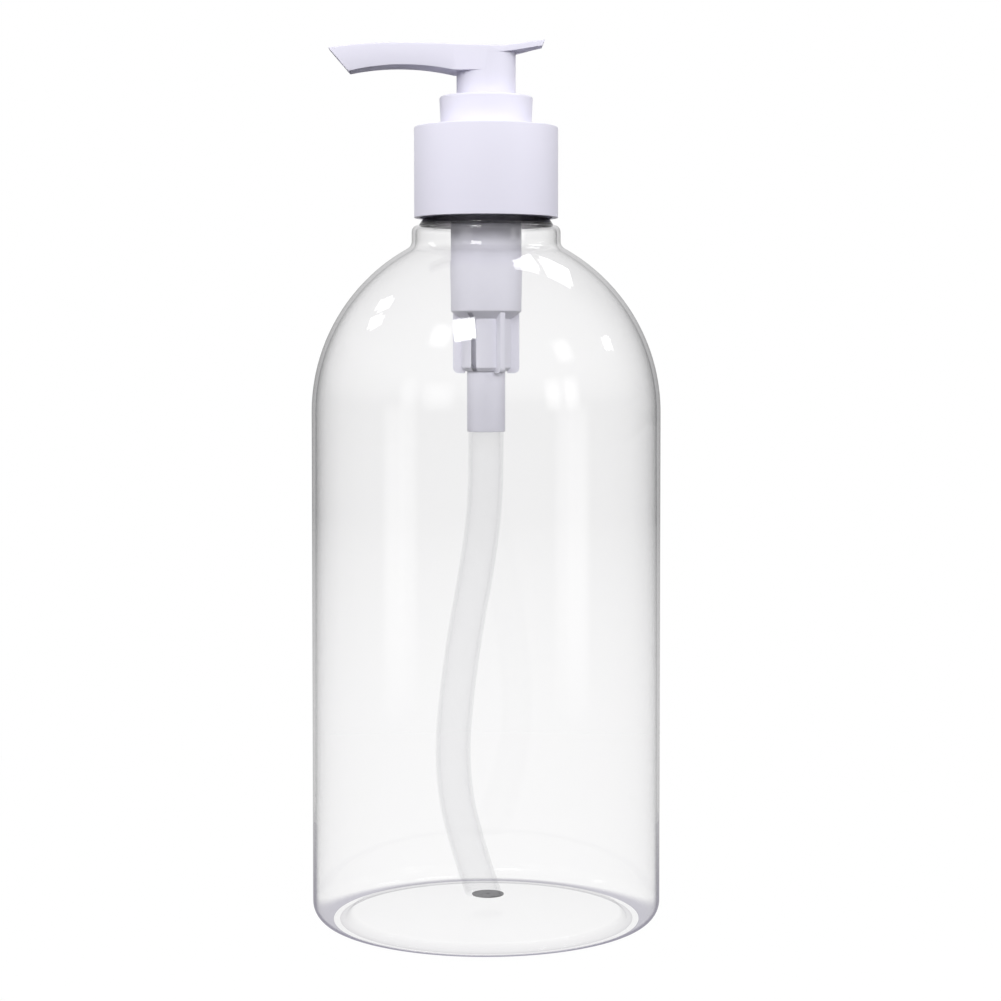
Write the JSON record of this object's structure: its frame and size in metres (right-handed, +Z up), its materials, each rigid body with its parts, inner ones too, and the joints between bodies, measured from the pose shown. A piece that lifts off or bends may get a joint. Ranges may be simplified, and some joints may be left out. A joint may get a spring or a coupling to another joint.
{
  "type": "soap pump dispenser",
  "caption": "clear round soap bottle with a white lotion pump, long beak nozzle, screw closure, lock collar, ribbed housing and milky S-shaped dip tube",
  "frame": {"origin": "centre of the bottle's standing ring, on the surface that it stands on", "axes": "+Z up along the pump's axis, -X towards the nozzle's mouth in the stored pose, +Y to the side"},
  "size_m": [0.074, 0.074, 0.1867],
  "materials": {
    "clear_plastic": "clear, glossy blow-moulded PET",
    "white_plastic": "glossy white injection-moulded polypropylene",
    "translucent_plastic": "natural translucent polypropylene",
    "milky_plastic": "milky polyethylene tube, satin",
    "soft_plastic": "soft polyethylene, matte",
    "foam": "closed-cell polyethylene foam",
    "ball_glass": "polished glass",
    "spring_steel": "drawn stainless wire"
  },
  "bodies": {
    "bottle": {"bottle": "clear_plastic"},
    "pump": {"pump_housing": "translucent_plastic", "lock_collar": "white_plastic", "stem_guide": "white_plastic", "gasket": "foam", "dip_tube": "milky_plastic"},
    "closure": {"closure": "white_plastic"},
    "ball": {"inlet_ball": "ball_glass"},
    "spring": {"return_spring": "spring_steel"},
    "plunger": {"actuator": "white_plastic", "stem": "white_plastic", "valve_rod": "white_plastic"},
    "piston": {"piston": "soft_plastic"}
  },
  "joints": [
    {"name": "pump_rise", "type": "slide", "parent": "bottle", "child": "pump", "axis": [0, 0, 1], "range_m": [0, 0.00636]},
    {"name": "closure_turn", "type": "hinge", "parent": "pump", "child": "closure", "pos_m": [0, 0, 0.159], "axis": [0, 0, 1], "range_deg": [0, 540]},
    {"name": "ball_lift", "type": "slide", "parent": "pump", "child": "ball", "axis": [0, 0, 1], "range_m": [0, 0.0015]},
    {"name": "head_turn", "type": "hinge", "parent": "pump", "child": "spring", "pos_m": [0, 0, 0.129], "axis": [0, 0, 1], "continuous": true},
    {"name": "pump_stroke", "type": "slide", "parent": "spring", "child": "plunger", "axis": [0, 0, 1], "range_m": [0, 0.012], "stiffness_N_per_m": 1400, "springref_m": 0.016, "deforming": ["return_spring"]},
    {"name": "piston_shift", "type": "slide", "parent": "plunger", "child": "piston", "axis": [0, 0, 1], "range_m": [0, 0.0012]}
  ],
  "couplings": [
    {"joint": "pump_rise", "follows": "closure_turn", "m_per_rad": 0.00067375}
  ]
}
